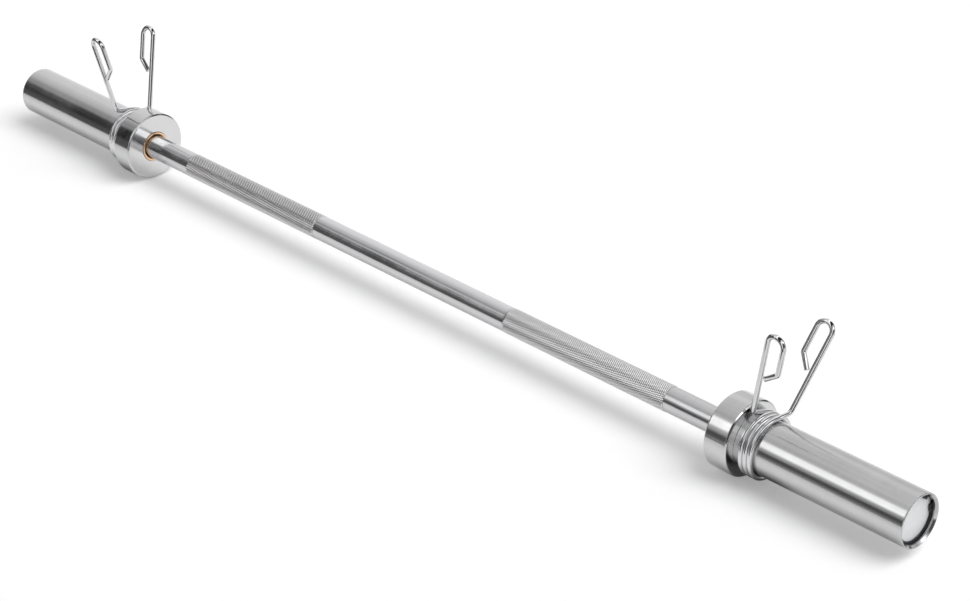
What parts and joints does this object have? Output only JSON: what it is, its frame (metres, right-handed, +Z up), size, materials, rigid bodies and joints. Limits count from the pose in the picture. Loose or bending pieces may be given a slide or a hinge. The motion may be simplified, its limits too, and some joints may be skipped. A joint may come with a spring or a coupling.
{
  "type": "barbell",
  "caption": "Short barbell with knurled grips, bushed 50 mm sleeves that revolve, chamfered collars and a wire spring clip on each sleeve.",
  "frame": {"origin": "the middle of the bar, on the bar's axis", "axes": "+X along the bar towards the end that is nearer in the picture, +Z up with the bar lying on its collars, +Y to the far side of the bar"},
  "size_m": [1.207, 0.0943, 0.1522],
  "materials": {
    "grip_chrome": "hard chrome, bright on the plain parts and diamond knurled on the two grips",
    "sleeve_chrome": "satin hard chrome with fine turning marks",
    "collar_chrome": "bright hard chrome with turned faces",
    "bronze": "plain sintered bronze",
    "washer_steel": "ground steel",
    "ring_steel": "black oxide on spring steel",
    "end_plate": "matt and pale",
    "spring_wire": "bright chrome on round spring wire"
  },
  "bodies": {
    "bar": {"shaft": "grip_chrome", "right_inner_thrust_washer": "washer_steel", "right_outer_thrust_washer": "washer_steel", "right_shaft_circlip": "ring_steel", "left_inner_thrust_washer": "washer_steel", "left_outer_thrust_washer": "washer_steel", "left_shaft_circlip": "ring_steel"},
    "right_sleeve": {"right_sleeve_tube": "sleeve_chrome", "right_collar_ring": "collar_chrome", "right_inner_bush": "bronze", "right_outer_bush": "bronze", "right_end_disc": "end_plate", "right_end_snap_ring": "ring_steel"},
    "right_clip": {"right_clip_coil": "spring_wire"},
    "right_inner_grip": {"right_clip_inner_handle": "spring_wire"},
    "right_outer_grip": {"right_clip_outer_handle": "spring_wire"},
    "left_sleeve": {"left_sleeve_tube": "sleeve_chrome", "left_collar_ring": "collar_chrome", "left_inner_bush": "bronze", "left_outer_bush": "bronze", "left_end_disc": "end_plate", "left_end_snap_ring": "ring_steel"},
    "left_clip": {"left_clip_coil": "spring_wire"},
    "left_inner_grip": {"left_clip_inner_handle": "spring_wire"},
    "left_outer_grip": {"left_clip_outer_handle": "spring_wire"}
  },
  "joints": [
    {"name": "right_sleeve_spin", "type": "hinge", "parent": "bar", "child": "right_sleeve", "pos_m": [0.5, 0, 0], "axis": [1, 0, 0], "continuous": true},
    {"name": "right_clip_slide", "type": "slide", "parent": "right_sleeve", "child": "right_clip", "axis": [1, 0, 0], "range_m": [-0.0039, 0.15]},
    {"name": "right_outer_squeeze", "type": "hinge", "parent": "right_clip", "child": "right_outer_grip", "pos_m": [0.4395, 0, 0], "axis": [1, 0, 0], "range_deg": [0, 15], "stiffness_Nm_per_rad": 23.3, "deforming": ["right_clip_coil"]},
    {"name": "right_inner_squeeze", "type": "hinge", "parent": "right_clip", "child": "right_inner_grip", "pos_m": [0.4395, 0, 0], "axis": [-1, 0, 0], "range_deg": [0, 15], "stiffness_Nm_per_rad": 23.3},
    {"name": "left_sleeve_spin", "type": "hinge", "parent": "bar", "child": "left_sleeve", "pos_m": [-0.5, 0, 0], "axis": [-1, 0, 0], "continuous": true},
    {"name": "left_clip_slide", "type": "slide", "parent": "left_sleeve", "child": "left_clip", "axis": [-1, 0, 0], "range_m": [-0.0006, 0.15]},
    {"name": "left_outer_squeeze", "type": "hinge", "parent": "left_clip", "child": "left_outer_grip", "pos_m": [-0.4362, 0, 0], "axis": [-1, 0, 0], "range_deg": [0, 15], "stiffness_Nm_per_rad": 23.3, "deforming": ["left_clip_coil"]},
    {"name": "left_inner_squeeze", "type": "hinge", "parent": "left_clip", "child": "left_inner_grip", "pos_m": [-0.4362, 0, 0], "axis": [1, 0, 0], "range_deg": [0, 15], "stiffness_Nm_per_rad": 23.3}
  ],
  "couplings": [
    {"joint": "right_inner_squeeze", "follows": "right_outer_squeeze", "ratio": 1},
    {"joint": "left_inner_squeeze", "follows": "left_outer_squeeze", "ratio": 1}
  ]
}
